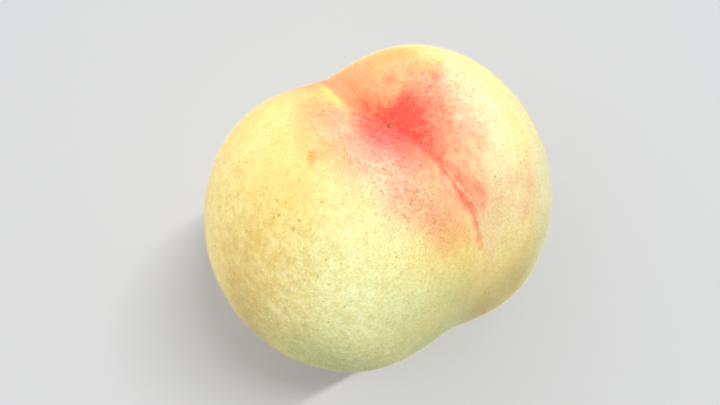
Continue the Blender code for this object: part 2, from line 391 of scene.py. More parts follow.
# The skin's roughness goes from one to the other with the mottle. The shader's other settings are
# the same all over.
SKIN_ROUGHNESS = (0.56, 0.70)
SKIN_SETTINGS = {"Specular IOR Level": 0.25, "Sheen Weight": 0.12, "Sheen Roughness": 0.5}

# The skin's bump: how much the fine grain, the mottle and the lenticels' pits add to its height.
BUMP_FINE = 0.6
BUMP_MOTTLE = 0.6
BUMP_PITS = 0.8
BUMP_STRENGTH = 0.35
BUMP_DISTANCE = 0.12 * MM

# The dried scar of the flower: its place on the map, a place that it points to, and half its
# length, width and height.
FLOWER_SCAR = (1.2, 0.5)
FLOWER_SCAR_AHEAD = (5.0, 1.0)
FLOWER_SCAR_HALF = (0.75 * MM, 0.4 * MM, 0.3 * MM)

# How uneven the scar is, and the noise that makes it so: how fine, and from where it is taken.
SCAR_UNEVENNESS = 0.35
SCAR_LUMPS = 2.2
SCAR_NOISE_START = Vector((3.1, 0.4, 7.7))

# The scar's browns, dark and light: at its root, and at its tip, and where along it they change.
SCAR_ROOT_BROWNS = ((0.18, 0.07, 0.03), (0.42, 0.22, 0.09))
SCAR_TIP_BROWNS = ((0.34, 0.21, 0.08), (0.55, 0.38, 0.17))
SCAR_CHANGE = (-0.1, 0.6)
SCAR_GRAIN = Grain(0.35 * MM, 2)
SCAR_SETTINGS = {"Roughness": 0.85}

# The down: short fine hairs, each a closed spike on three corners.
DOWN_PIECES = 3
HAIRS_A_PIECE = 45000
HAIR_LENGTH = (0.3 * MM, 0.75 * MM)
HAIR_WIDTH = 0.03 * MM
HAIR_TILT = 0.45
HAIR_ROOT = 0.05 * MM
HAIR_SKIN_SHARE = 0.45
HAIR_CLEAR_OF_TABLE = 0.9 * MM
HAIR_FACES = ((0, 2, 1), (0, 1, 3), (1, 2, 3), (2, 0, 3))

# Where a hair's triangle lies in its cell of the bake map.
HAIR_BAKE_PLACES = ((0.1, 0.1), (0.9, 0.1), (0.5, 0.9))

DOWN_GRAIN = Grain(3 * MM, 2)
DOWN_TONES = ((0.94, 0.93, 0.90), (1.02, 1.02, 1.02))
DOWN_SETTINGS = {"Roughness": 0.7, "Specular IOR Level": 0.2}

# The camera, at the angle the photograph was taken from, and its field of view.
CAMERA_AZIMUTH = math.radians(51.1)
CAMERA_ELEVATION = math.radians(75.02)
CAMERA_AIM = (-5.64 * MM, -1.88 * MM, 35.9 * MM)
CAMERA_DISTANCE = 127.8 * MM
CAMERA_CLIP_START = 0.01
SENSOR_WIDTH_MM = 36
LENS_MM = 24.45

# The key light is a far, narrow strip that stands up behind the fruit on the right.
KEY_WAY = math.radians(79)
KEY_HEIGHT = math.radians(61)
KEY_DISTANCE = 4.0
KEY_WIDTH = 0.12
KEY_LENGTH = 1.8
KEY_WATTS = 90.0

# The room's light: its level, how much it grows towards its brighter side, and how much more of
# it comes from low down than from overhead. Light from 45 degrees up stays at the plain level.
ROOM_LEVEL = 0.74
ROOM_GROWTH = 0.75
ROOM_LOWNESS = 0.5
ROOM_EVEN_HEIGHT_SQUARED = 0.5
ROOM_BRIGHT_WAY = math.radians(192)
BACKDROP = (0.72, 0.72, 0.72, 1.0)

FLOOR_HALF = 6.0
FLOOR_SETTINGS = {"Base Color": (0.6, 0.605, 0.615, 1.0), "Roughness": 0.9, "Specular IOR Level": 0.0}

SEED = 7


def blend(low, high, side, softness=SIDE_SOFTNESS):
    """A value that goes smoothly from low, where side is negative, to high, where it is positive."""
    share = 0.5 + 0.5 * np.tanh(side / softness)
    return low + (high - low) * share


def suture_sway(along):
    """The suture's sideways place, where along is the angle from the blossom end towards +X."""
    front = sum(size * np.sin(times * along) for times, size in enumerate(FRONT_SWAY, start=1))
    back = BACK_SWAY * np.sin(along)
    return np.where(along > 0, front, back)


def suture_angles(directions):
    """For each direction, how far along the suture it is, and how far off to its side."""
    x, y, z = directions.T
    along = np.arctan2(x, z)
    off = y - suture_sway(along) * np.hypot(x, z)
    return along, off


def body_radius(directions):
    """The two lobes and the two ends, as one egg-like body with a different reach each way."""
    x, y, z = directions.T
    reach_x = blend(PLAIN_SIDE, SUTURE_SIDE, x)
    reach_y = blend(LARGE_LOBE, SMALL_LOBE, y)
    reach_z = blend(STEM_END, BLOSSOM_END, z)
    return ((x / reach_x) ** 2 + (y / reach_y) ** 2 + (z / reach_z) ** 2) ** -0.5


def valley_depth(directions):
    """The broad valley: full depth down the suture side, fading on the plain side."""
    x, _, z = directions.T
    _, off = suture_angles(directions)
    back_at_stem = BACK_VALLEY_LEFT_AT_STEM * BACK_VALLEY_DEPTH
    back = blend(back_at_stem, BACK_VALLEY_DEPTH, z + BACK_VALLEY_FADE_HEIGHT)
    depth = blend(back, FRONT_VALLEY_DEPTH, x, VALLEY_SOFTNESS)
    return depth * np.exp(-(off / VALLEY_WIDTH) ** 2)


def crease_depth(directions):
    """The narrow fold along the suture, deepest at the blossom end."""
    along, off = suture_angles(directions)
    front = np.exp(-(np.maximum(along, 0) / CREASE_FRONT_REACH) ** 2)
    back = np.exp(-(np.minimum(along, 0) / CREASE_BACK_REACH) ** 2)
    return CREASE_DEPTH * front * back * np.exp(-np.abs(off) / CREASE_WIDTH)


def angle_from(directions, place):
    """The angle between each direction and the direction of a place on the fruit."""
    axis = np.array(place) / np.linalg.norm(place)
    return np.arccos(np.clip(directions @ axis, -1, 1))


def own_axes(turn, spread):
    """A direction given on the table, from straight down, in the fruit's own axes."""
    down = -math.cos(spread)
    ahead = math.sin(spread) * math.cos(turn - LEAN_WAY)
    aside = math.sin(spread) * math.sin(turn - LEAN_WAY)
    upright = ahead * math.sin(LEAN) + down * math.cos(LEAN)
    ahead = ahead * math.cos(LEAN) - down * math.sin(LEAN)
    x = ahead * math.cos(LEAN_WAY) - aside * math.sin(LEAN_WAY)
    y = ahead * math.sin(LEAN_WAY) + aside * math.cos(LEAN_WAY)
    return x, y, upright


def end_depth(directions):
    """The blossom end's hollow, and the stem cavity with its raised scar."""
    from_hollow = angle_from(directions, HOLLOW_PLACE)
    hollow = HOLLOW_DEPTH * np.exp(-(from_hollow / HOLLOW_WIDTH) ** 2)
    from_stem = angle_from(directions, own_axes(0, 0))
    cavity = STEM_CAVITY_DEPTH * np.exp(-(from_stem / STEM_CAVITY_WIDTH) ** 2)
    scar = blend(STEM_SCAR_HEIGHT, 0, from_stem - STEM_SCAR_RADIUS, STEM_SCAR_EDGE)
    return hollow + cavity - scar


def shoulder_swell(directions):
    """How far the three shoulders swell out of the stem end."""
    swell = np.zeros(len(directions))
    for turn, height in SHOULDERS:
        away = angle_from(directions, own_axes(turn, SHOULDER_SPREAD))
        swell += height * np.exp(-(away / SHOULDER_WIDTH) ** 2)
    return swell


def smooth_points(directions, relief=0.0):
    """The point of the skin in each direction from the middle of the fruit, in its own axes."""
    radius = body_radius(directions) - valley_depth(directions) - crease_depth(directions)
    radius = radius - end_depth(directions) + shoulder_swell(directions) + relief
    points = directions * radius[:, None]
    points[:, 0] += SKEW_TO_SUTURE * points[:, 2]
    points[:, 1] += SKEW_TO_SMALL_LOBE * points[:, 2]
    return points


def lean_back(points):
    """Points in the fruit's own axes, turned so that +Z is straight up on the table."""
    way = np.array((math.cos(LEAN_WAY), math.sin(LEAN_WAY), 0))
    ahead, upright = points @ way, points[:, 2]
    leaned = ahead * math.cos(LEAN) + upright * math.sin(LEAN)
    height = upright * math.cos(LEAN) - ahead * math.sin(LEAN)
    turned = points + (leaned - ahead)[:, None] * way
    turned[:, 2] = height
    return turned


def wander(points, size, seed):
    """Smooth noise, about -1 to 1, at each point, with bumps of the given size."""
    shift = Vector([seed * step for step in NOISE_STEP])
    return np.array([noise.noise(Vector(point) / size + shift) for point in points])


def map_places(directions):
    """Each direction's place on the map: degrees towards the suture, and towards the smaller lobe."""
    x, y, z = directions.T
    from_end = np.degrees(np.arccos(np.clip(z, -1, 1)))
    round_it = np.arctan2(y, x)
    return np.stack([from_end * np.cos(round_it), from_end * np.sin(round_it)], axis=1)


def patch_share(places, patch):
    """How strong a patch is at each place: full in its middle, and fading out past its edge."""
    turn = math.radians(patch.turn)
    east, north = places[:, 0] - patch.suture, places[:, 1] - patch.lobe
    along = east * math.cos(turn) + north * math.sin(turn)
    across = north * math.cos(turn) - east * math.sin(turn)
    away = np.hypot(along / patch.length, across / patch.width)
    return patch.share * np.exp(-PATCH_FADE * away ** PATCH_STEEPNESS)


def patches_share(places, patches):
    """How strong several patches are together at each place."""
    clear = np.ones(len(places))
    for patch in patches:
        clear *= 1 - patch_share(places, patch)
    return 1 - clear


def stroke_share(directions, bends):
    """How strong a stroke beside the suture is in each direction."""
    along, off = suture_angles(directions)
    starts, *columns = zip(*bends)
    middle, left, right, share = (np.interp(along, starts, column) for column in columns)
    away = off - middle
    width = np.where(away < 0, left, right)
    return share * np.exp(-(away / width) ** 2)


def strokes_share(directions, strokes):
    """How strong several strokes are together in each direction."""
    clear = np.ones(len(directions))
    for bends in strokes:
        clear *= 1 - stroke_share(directions, bends)
    return 1 - clear


def washed_colour(places, from_stem):
    """The soft colour of the skin at each place on the map, greener round the stem end, with the
    washes' painted highlight and painted shade in it.
    """
    colour = np.tile(LEMON, (len(places), 1))
    for tint, patches in WASHES:
        share = patches_share(places, patches)[:, None]
        colour += (np.array(tint) - colour) * share
    share = STEM_GREEN * np.exp(-(from_stem / STEM_GREEN_REACH) ** 4)[:, None]
    return colour + (np.array(GREEN) - colour) * share


def bump(value, middle, width):
    """A smooth bump: 1 where the value is at the middle, fading out to both sides."""
    return np.exp(-((value - middle) / width) ** 2)


def meridian_places(directions):
    """Places for noise that runs in streaks down from the blossom end."""
    round_it = np.arctan2(directions[:, 1], directions[:, 0])
    x, y = MERIDIAN_ROUND * np.cos(round_it), MERIDIAN_ROUND * np.sin(round_it)
    return np.stack([x, y, MERIDIAN_ALONG * angle_from(directions, (0, 0, 1))], axis=1)


def cork_share(directions):
    """How much of the skin is cork in each direction: 1 on the stem's scar, 0 elsewhere."""
    from_stem = angle_from(directions, own_axes(0, 0))
    return blend(1, 0, from_stem - STEM_SCAR_RADIUS, STEM_SCAR_EDGE)


def fine_relief(directions, points):
    """Low relief: swells, dimples, wrinkles round the hollow, a groove by the suture, rippled cork."""
    relief = SWELL_HEIGHT * wander(points, SWELL_SIZE, 1)
    relief += DIMPLE_HEIGHT * wander(points, DIMPLE_SIZE, 2)
    from_end = angle_from(directions, (0, 0, 1))
    wrinkles = wander(meridian_places(directions), 1.0, 3)
    relief += WRINKLE_HEIGHT * wrinkles * bump(from_end, WRINKLE_MIDDLE, WRINKLE_REACH)
    along, off = suture_angles(directions)
    groove = SIDE_GROOVE_DEPTH * bump(off, SIDE_GROOVE_OFF, SIDE_GROOVE_WIDTH)
    relief -= groove * bump(along, SIDE_GROOVE_MIDDLE, SIDE_GROOVE_REACH)
    ripples = wander(points, CORK_RIPPLE_SIZE, 4)
    return relief + CORK_RIPPLE_HEIGHT * cork_share(directions) * ripples


def cube_grid():
    """The points and the quads of a cube whose sides are cut into rows."""
    mesh = bmesh.new()
    bmesh.ops.create_cube(mesh, size=2.0)
    bmesh.ops.subdivide_edges(mesh, edges=mesh.edges[:], cuts=ROWS - 1, use_grid_fill=True)
    points = np.array([vertex.co for vertex in mesh.verts])
    quads = np.array([[vertex.index for vertex in face.verts] for face in mesh.faces])
    mesh.free()
    return points, quads


def skin_directions(cube):
    """Directions of the points of a gridded cube, with one row laid along the suture."""
    drawn = cube.copy()
    drawn[:, 1] *= ROWS_AT_SUTURE + (1 - ROWS_AT_SUTURE) * cube[:, 1] ** 2
    directions = np.tan(drawn * np.pi / 4)
    directions /= np.linalg.norm(directions, axis=1, keepdims=True)
    x, _, z = directions.T
    sway = suture_sway(np.arctan2(x, z)) * np.hypot(x, z)
    directions[:, 1] += sway * (1 - cube[:, 1] ** 2)
    return directions / np.linalg.norm(directions, axis=1, keepdims=True)


def bake_corners(cube, quads):
    """The bake map's place for each corner of each quad: one cell for each side, 3 by 2 cells."""
    corners = cube[quads]
    middle = corners.mean(axis=1)
    axis = np.abs(middle).argmax(axis=1)
    positive = np.take_along_axis(middle, axis[:, None], axis=1)[:, 0] > 0
    first, second = (axis + 1) % 3, (axis + 2) % 3
    across = np.take_along_axis(corners, first[:, None, None], axis=2)[:, :, 0]
    up = np.take_along_axis(corners, second[:, None, None], axis=2)[:, :, 0]
    u = (axis[:, None] + 0.5 + 0.5 * BAKE_FILL * across) / 3
    v = (positive[:, None] + 0.5 + 0.5 * BAKE_FILL * up) / 2
    return np.stack([u, v], axis=2)


def add_object(name, data):
    item = bpy.data.objects.new(name, data)
    bpy.context.collection.objects.link(item)
    return item


def add_values(mesh, name, values):
    """Keeps a number, a direction or a colour for each point of the mesh, for the material to read."""
    values = np.asarray(values, dtype=np.float32)
    if values.ndim == 1:
        mesh.attributes.new(name, "FLOAT", "POINT").data.foreach_set("value", values)
        return
    mesh.attributes.new(name, "FLOAT_VECTOR", "POINT").data.foreach_set("vector", values.ravel())


def skin_values(directions, points):
    """What the skin's material reads at each point, by name."""
    places = map_places(directions)
    stray = [wander(points, WASH_WANDER_SIZE, seed) for seed in (5, 6)]
    strayed = places + WASH_WANDER * np.stack(stray, axis=1)
    pink_patches = patches_share(strayed, PINK_BLUSH)
    pink_stroke = stroke_share(directions, PINK_STROKE)
    return {
        "place": np.pad(places, ((0, 0), (0, 1))),
        "wash": washed_colour(strayed, angle_from(directions, own_axes(0, 0))),
        "pink": 1 - (1 - pink_patches) * (1 - pink_stroke),
        "red": patches_share(strayed, RED_BLUSH),
        "red_stroke": strokes_share(directions, RED_STROKES),
        "pale_stroke": stroke_share(directions, PALE_STROKE),
        "orange_stroke": stroke_share(directions, ORANGE_STROKE),
        "yellow_stroke": stroke_share(directions, YELLOW_STROKE),
        "mottled": patches_share(places, MOTTLED),
        "flecked": patches_share(places, FLECKED),
        "speckled": patches_share(places, SPECKLED),
        "hairlined": patches_share(places, HAIRLINED),
        "meridian": meridian_places(directions),
        "cork": cork_share(directions),
    }


def make_skin(low, high):
    """The skin, at rest in the CAD solid's box, with what its material reads at each point."""
    cube, quads = cube_grid()
    directions = skin_directions(cube)
    smooth = smooth_points(directions)
    points = lean_back(smooth_points(directions, fine_relief(directions, smooth)))
    ground = lean_back(smooth)[:, 2].min() + SHOULDER_PRESS
    points[:, 2] = np.maximum(points[:, 2], ground)
    middle = (points.min(axis=0) + points.max(axis=0)) / 2
    points += ((low.x + high.x) / 2 - middle[0], (low.y + high.y) / 2 - middle[1], low.z - ground)

    mesh = bpy.data.meshes.new("peach_skin")
    mesh.from_pydata(points, [], quads)
    mesh.shade_smooth()
    corners = bake_corners(cube, quads).astype(np.float32)
    mesh.uv_layers.new(name="OFBake").data.foreach_set("uv", corners.ravel())

    for name, values in skin_values(directions, smooth).items():
        add_values(mesh, name, values)

    return add_object("skin", mesh)


class Tree:
    """Short ways to add nodes to a node tree and to join them."""

    def __init__(self, tree):
        self.tree = tree

    def put(self, kind, **settings):
        node = self.tree.nodes.new(kind)
        for name, value in settings.items():
            setattr(node, name, value)
        return node

    def feed(self, socket, value):
        """Joins a socket to another one, or gives it a constant."""
        if isinstance(value, bpy.types.NodeSocket):
            self.tree.links.new(value, socket)
        elif isinstance(value, tuple) and len(value) == 3 and socket.type == "RGBA":
            socket.default_value = (*value, 1.0)
        else:
            socket.default_value = value

    def math(self, operation, first, second, clamp=False):
        node = self.put("ShaderNodeMath", operation=operation, use_clamp=clamp)
        self.feed(node.inputs[0], first)
        self.feed(node.inputs[1], second)
        return node.outputs[0]

    def vector_math(self, operation, first, second, output="Vector"):
        node = self.put("ShaderNodeVectorMath", operation=operation)
        self.feed(node.inputs[0], first)
        self.feed(node.inputs[1], second)
        return node.outputs[output]

    def mix(self, share, first, second, blend_type="MIX"):
        node = self.put("ShaderNodeMix", data_type="RGBA", blend_type=blend_type)
        self.feed(node.inputs["Factor"], share)
        self.feed(node.inputs[6], first)
        self.feed(node.inputs[7], second)
        return node.outputs[2]

    def span(self, value, low, high, to_low=0.0, to_high=1.0, kind="SMOOTHSTEP"):
        """Goes from one number to another while the value goes from low to high."""
        node = self.put("ShaderNodeMapRange", interpolation_type=kind)
        sockets = ("Value", "From Min", "From Max", "To Min", "To Max")
        for name, given in zip(sockets, (value, low, high, to_low, to_high)):
            self.feed(node.inputs[name], given)
        return node.outputs["Result"]

    def values(self, name, output="Fac"):
        """What the mesh keeps under a name at each point."""
        return self.put("ShaderNodeAttribute", attribute_name=name).outputs[output]

    def place(self):
        return self.put("ShaderNodeTexCoord").outputs["Object"]

    def noise(self, vector, size):
        node = self.put("ShaderNodeTexNoise")
        self.feed(node.inputs["Vector"], vector)
        self.feed(node.inputs["Scale"], 1 / size)
        return node

    def grain(self, vector, size, detail, roughness):
        """Noise with bumps of the given size, stretched to fill 0 to 1."""
        node = self.noise(vector, size)
        self.feed(node.inputs["Detail"], detail)
        self.feed(node.inputs["Roughness"], roughness)
        return self.span(node.outputs["Fac"], *GRAIN_RANGE, kind="LINEAR")

    def dots(self, vector, spacing, radius, kept):
        """Round dots about a spacing apart: how strong each is, where only a share of them is kept."""
        node = self.put("ShaderNodeTexVoronoi")
        self.feed(node.inputs["Vector"], vector)
        self.feed(node.inputs["Scale"], 1 / spacing)
        inner, outer = (edge * radius / spacing for edge in DOT_EDGE)
        dot = self.span(node.outputs["Distance"], inner, outer, 1.0, 0.0)
        draw = self.put("ShaderNodeSeparateColor")
        self.feed(draw.inputs[0], node.outputs["Color"])
        chosen = self.math("LESS_THAN", draw.outputs[0], kept)
        return self.math("MULTIPLY", dot, chosen)

    def toned(self, colour, share, first, last):
        """The colour times a tone that goes from the first to the last with the share."""
        return self.mix(1.0, colour, self.mix(share, first, last), "MULTIPLY")

    def brushed(self, colour, tint, share, grain, swing):
        """The colour with a tint over it, broken up by a grain into places with more and with less."""
        moved = self.math("MULTIPLY_ADD", grain, swing)
        moved.node.inputs[2].default_value = -0.5 * swing
        cover = self.math("ADD", share, moved, clamp=True)
        cover = self.math("MULTIPLY", cover, self.span(share, 0.0, BRUSHED_ONSET))
        return self.mix(cover, colour, tint)

    def blended(self, grains):
        """Several grains added up, each by its own share."""
        total = 0.0
        for grain, share in grains:
            added = self.math("MULTIPLY_ADD", grain, share)
            self.feed(added.node.inputs[2], total)
            total = added
        return total

    def strayed(self, vector, size, reach):
        """The vector, moved by noise, so that round shapes laid on it come out uneven."""
        drift = self.noise(vector, size).outputs["Color"]
        moved = self.vector_math("MULTIPLY_ADD", drift, (2 * reach,) * 3)
        moved.node.inputs[2].default_value = (-reach,) * 3
        return self.vector_math("ADD", vector, moved)

    def spots(self, colour, vector, spots, tint):
        """The colour with soft spots laid on it, each given as a point, a radius and a strength."""
        for point, radius, share in spots:
            away = self.vector_math("DISTANCE", vector, point, "Value")
            inner, outer = (edge * radius for edge in SPOT_EDGE)
            colour = self.mix(self.span(away, inner, outer, share, 0.0), colour, tint)
        return colour


def skin_point(skin, suture, lobe):
    """The point of the skin's mesh that is nearest to a place on the map."""
    places = kept_values(skin.data, "place", 3)[:, :2]
    away = np.hypot(places[:, 0] - suture, places[:, 1] - lobe)
    return skin.data.vertices[int(away.argmin())]


def speck_points(skin, specks):
    """Each speck's point on the skin, with its radius and strength."""
    for speck in specks:
        point = skin_point(skin, speck.suture, speck.lobe).co
        yield tuple(point), speck.radius * MM, speck.share


def new_material(name, settings):
    """A material, its node tree and its shader, which gets the settings."""
    material = bpy.data.materials.new(name)
    material.use_nodes = True
    shader = material.node_tree.nodes["Principled BSDF"]
    for setting, value in settings.items():
        shader.inputs[setting].default_value = value
    return material, Tree(material.node_tree), shader


class SkinGrains:
    """The places and the grains that the parts of the skin's material share."""

    def __init__(self, tree):
        self.place = tree.place()
        self.uneven = tree.strayed(self.place, *UNEVEN)
        self.ragged = tree.strayed(self.place, *RAGGED)
        self.cloud = tree.grain(self.place, *CLOUD)
        self.patches = tree.grain(self.uneven, *PATCHES)
        self.clumps = tree.grain(self.uneven, *CLUMPS)
        self.mottle = tree.grain(self.place, *MOTTLE)
        self.fine = tree.grain(self.place, *FINE)
        self.stipple = tree.grain(self.uneven, *STIPPLE)
        self.streaks = tree.grain(tree.values("meridian", "Vector"), *STREAKS)
        self.lenticels = tree.dots(self.place, *LENTICELS)


def ground_colour(tree, grains):
    """The toned washes, with the groove's orange and yellow strokes."""
    colour = tree.toned(tree.values("wash", "Color"), grains.cloud, *CLOUD_TONES)
    calm = tree.toned(colour, grains.mottle, *CALM_TONES)
    mottled = tree.toned(colour, grains.patches, *PATCH_TONES)
    mottled = tree.toned(mottled, grains.mottle, *MOTTLE_TONES)
    colour = tree.mix(tree.values("mottled"), calm, mottled)
    for name, tint in (("orange_stroke", ORANGE), ("yellow_stroke", YELLOW)):
        colour = tree.brushed(colour, tint, tree.values(name), grains.clumps, GROOVE_STROKE_SWING)
    return tree.toned(colour, grains.fine, *FINE_TONES)


def blushed_colour(tree, grains, colour):
    """The pink and the red blush, with the strokes along the suture and pale hairlines."""
    pink_grain = tree.blended((getattr(grains, name), share) for name, share in PINK_GRAIN)
    colour = tree.brushed(colour, PINK, tree.values("pink"), pink_grain, PINK_SWING)
    red_grain = tree.blended((getattr(grains, name), share) for name, share in RED_GRAIN)
    red = tree.math("MULTIPLY", tree.values("red"), RED_STRENGTH)
    colour = tree.brushed(colour, RED, red, red_grain, RED_SWING)
    colour = tree.brushed(colour, RED, tree.values("red_stroke"), grains.clumps, RED_STROKE_SWING)
    colour = tree.brushed(colour, PALE, tree.values("pale_stroke"), grains.streaks, PALE_STROKE_SWING)
    hairlines = tree.span(grains.streaks, *HAIRLINE_RANGE)
    hairlines = tree.math("MULTIPLY", hairlines, tree.values("hairlined"))
    return tree.mix(tree.math("MULTIPLY", hairlines, HAIRLINE_SHARE), colour, PALE)


def speckled_colour(tree, grains, colour):
    """The colour with dark and pale speckle, where the skin has it."""
    speckled = tree.toned(colour, grains.stipple, *STIPPLE_TONES)
    speckled = tree.toned(speckled, grains.streaks, *STREAK_TONES)
    cells = tree.math("MULTIPLY", tree.dots(grains.uneven, *PALE_CELLS), PALE_CELL_SHARE)
    speckled = tree.mix(cells, speckled, PALE)
    speckled = tree.toned(speckled, tree.dots(grains.uneven, *FRECKLES), PLAIN_TONE, FRECKLE_TONE)
    return tree.mix(tree.values("speckled"), colour, speckled)


def marked_colour(tree, grains, colour, skin):
    """The colour with pores, lenticels, flecks, single specks and the cork of the stem's scar."""
    colour = tree.toned(colour, tree.dots(grains.place, *PORES), PLAIN_TONE, PORE_TONE)
    colour = tree.toned(colour, grains.lenticels, PLAIN_TONE, LENTICEL_TONE)
    small, large = tree.dots(grains.place, *SMALL_FLECKS), tree.dots(grains.ragged, *LARGE_FLECKS)
    flecks = tree.math("MULTIPLY", tree.math("MAXIMUM", small, large), tree.values("flecked"))
    colour = tree.mix(tree.math("MULTIPLY", flecks, FLECK_SHARE), colour, FLECK)
    for vector, specks, tint in (
        (grains.ragged, OCHRE_SPECKS, HONEY),
        (grains.ragged, RED_SPECKS, RED),
        (grains.ragged, BLEMISH, BROWN),
        (grains.ragged, CRIMSON_SPECKS, CRIMSON),
        (grains.place, OLIVE_SPECKS, OLIVE),
        (grains.place, PALE_SPECKS, FLECK),
    ):
        colour = tree.spots(colour, vector, speck_points(skin, specks), tint)
    return tree.mix(tree.values("cork"), colour, tree.mix(grains.mottle, CORK, CORK_LIGHT))


def skin_bump(tree, grains):
    """Fine unevenness with the lenticels sunk in it, too small for the mesh."""
    shares = ((grains.fine, BUMP_FINE), (grains.mottle, BUMP_MOTTLE), (grains.lenticels, -BUMP_PITS))
    rise = tree.blended(shares)
    bumps = tree.put("ShaderNodeBump")
    tree.feed(bumps.inputs["Height"], rise)
    bumps.inputs["Strength"].default_value = BUMP_STRENGTH
    bumps.inputs["Distance"].default_value = BUMP_DISTANCE
    return bumps.outputs["Normal"]


def skin_material(skin):
    """Downy peach skin, from the washes up to the single specks."""
    material, tree, shader = new_material("peach_skin", SKIN_SETTINGS)
    grains = SkinGrains(tree)
    colour = blushed_colour(tree, grains, ground_colour(tree, grains))
    colour = marked_colour(tree, grains, speckled_colour(tree, grains, colour), skin)
    tree.feed(shader.inputs["Base Color"], colour)
    tree.feed(shader.inputs["Roughness"], tree.span(grains.mottle, 0.0, 1.0, *SKIN_ROUGHNESS))
    tree.feed(shader.inputs["Normal"], skin_bump(tree, grains))
    return material


def down_material():
    """Soft hairs, whitish with a little of the skin's colour."""
    material, tree, shader = new_material("peach_down", DOWN_SETTINGS)
    shade = tree.grain(tree.place(), *DOWN_GRAIN)
    tree.feed(shader.inputs["Base Color"], tree.toned(tree.values("tint", "Color"), shade, *DOWN_TONES))
    return material


def make_flower_scar(skin):
    """The dried remains of the flower, a small rough lump at the bottom of the hollow."""
    root = skin_point(skin, *FLOWER_SCAR)
    ahead = skin_point(skin, *FLOWER_SCAR_AHEAD)
    up = root.normal
    along = (ahead.co - root.co).normalized()
    aside = up.cross(along).normalized()
    turn = Matrix((aside.cross(up), aside, up)).transposed()
    mesh = bmesh.new()
    bmesh.ops.create_icosphere(mesh, subdivisions=4, radius=1.0)
    tip = []
    for vertex in mesh.verts:
        rough = 1 + SCAR_UNEVENNESS * noise.noise(SCAR_LUMPS * vertex.co + SCAR_NOISE_START)
        tip.append(vertex.co.x)
        size = [rough * half * part for half, part in zip(FLOWER_SCAR_HALF, vertex.co)]
        vertex.co = root.co + turn @ Vector(size)
    data = bpy.data.meshes.new("flower_scar")
    mesh.to_mesh(data)
    mesh.free()
    data.shade_smooth()
    add_values(data, "tip", tip)
    return add_object("flower_scar", data)


def flower_scar_material():
    """Dry brown, paler towards the tip."""
    material, tree, shader = new_material("peach_flower_scar", SCAR_SETTINGS)
    rough = tree.grain(tree.place(), *SCAR_GRAIN)
    root, tip = tree.mix(rough, *SCAR_ROOT_BROWNS), tree.mix(rough, *SCAR_TIP_BROWNS)
    share = tree.span(tree.values("tip"), *SCAR_CHANGE)
    tree.feed(shader.inputs["Base Color"], tree.mix(share, root, tip))
    return material


def skin_faces(skin):
    """The skin's triangles: their corners by number and by place, their areas and normals."""
    mesh = skin.data
    mesh.calc_loop_triangles()
    picks = np.empty(len(mesh.loop_triangles) * 3, dtype=np.int32)
    mesh.loop_triangles.foreach_get("vertices", picks)
    picks = picks.reshape(-1, 3)
    points = np.empty(len(mesh.vertices) * 3)
    mesh.vertices.foreach_get("co", points)
    corners = points.reshape(-1, 3)[picks]
    normals = np.cross(corners[:, 1] - corners[:, 0], corners[:, 2] - corners[:, 0])
    areas = np.linalg.norm(normals, axis=1)
    return picks, corners, areas, normals / areas[:, None]


def kept_values(mesh, name, width):
    """The numbers that the mesh keeps under a name, one row for each point."""
    values = np.empty(len(mesh.vertices) * width, dtype=np.float32)
    field = "value" if width == 1 else "vector"
    mesh.attributes[name].data.foreach_get(field, values)
    return values.reshape(-1, width)


def hair_tints(skin):
    """The colour of the hairs at each point of the skin: white, with some of the skin's washed colour,
    its painted highlight and painted shade included.
    """
    colour = kept_values(skin.data, "wash", 3)
    for name, tint in (("pink", PINK), ("red", RED), ("red_stroke", RED)):
        colour = colour + (np.array(tint) - colour) * kept_values(skin.data, name, 1)
    return np.array(WHITE) + (colour - WHITE) * HAIR_SKIN_SHARE


def hair_corners(count):
    """The bake map's place for each corner of each hair's four faces: one cell for each hair."""
    rows = math.ceil(count ** 0.5)
    number = np.arange(count)
    cell = np.stack([number % rows, number // rows], axis=1)
    places = (cell[:, None, :] + np.array(HAIR_BAKE_PLACES)[None]) / rows
    return np.tile(places.reshape(-1, 2), (4, 1))


def hair_roots(skin, random):
    """Random points on the skin, clear of the table, the ways they face and a vertex near each."""
    picks, corners, areas, normals = skin_faces(skin)
    above = corners[:, :, 2].min(axis=1) > HAIR_CLEAR_OF_TABLE
    chance = areas * above
    chosen = random.choice(len(areas), HAIRS_A_PIECE, p=chance / chance.sum())
    weights = random.dirichlet((1, 1, 1), HAIRS_A_PIECE)
    roots = (corners[chosen] * weights[:, :, None]).sum(axis=1)
    return roots, normals[chosen], picks[chosen, 0]


def hair_points(roots, facing, random):
    """Four points for each hair: three round its root, sunk in the skin, and its tip."""
    ways = facing + random.normal(0, HAIR_TILT, (HAIRS_A_PIECE, 3))
    ways /= np.linalg.norm(ways, axis=1, keepdims=True)
    lengths = random.uniform(*HAIR_LENGTH, HAIRS_A_PIECE)[:, None]
    side = np.cross(ways, random.normal(size=(HAIRS_A_PIECE, 3)))
    side /= np.linalg.norm(side, axis=1, keepdims=True)
    other = np.cross(ways, side)
    base = roots - HAIR_ROOT * facing
    radius = HAIR_WIDTH / 2
    turns = (0, math.tau / 3, 2 * math.tau / 3)
    points = [base + radius * (math.cos(turn) * side + math.sin(turn) * other) for turn in turns]
    points.append(base + ways * lengths)
    return np.stack(points, axis=1).reshape(-1, 3)


def make_down(skin, name, random):
    """One share of the down: closed three-cornered spikes, rooted in the skin."""
    roots, facing, vertices = hair_roots(skin, random)
    first = 4 * np.arange(HAIRS_A_PIECE)[:, None]
    faces = np.concatenate([first + corners for corners in HAIR_FACES])
    mesh = bpy.data.meshes.new(name)
    mesh.from_pydata(hair_points(roots, facing, random), [], faces)
    places = hair_corners(HAIRS_A_PIECE).astype(np.float32)
    mesh.uv_layers.new(name="OFBake").data.foreach_set("uv", places.ravel())
    add_values(mesh, "tint", np.repeat(hair_tints(skin)[vertices], 4, axis=0))
    return add_object(name, mesh)


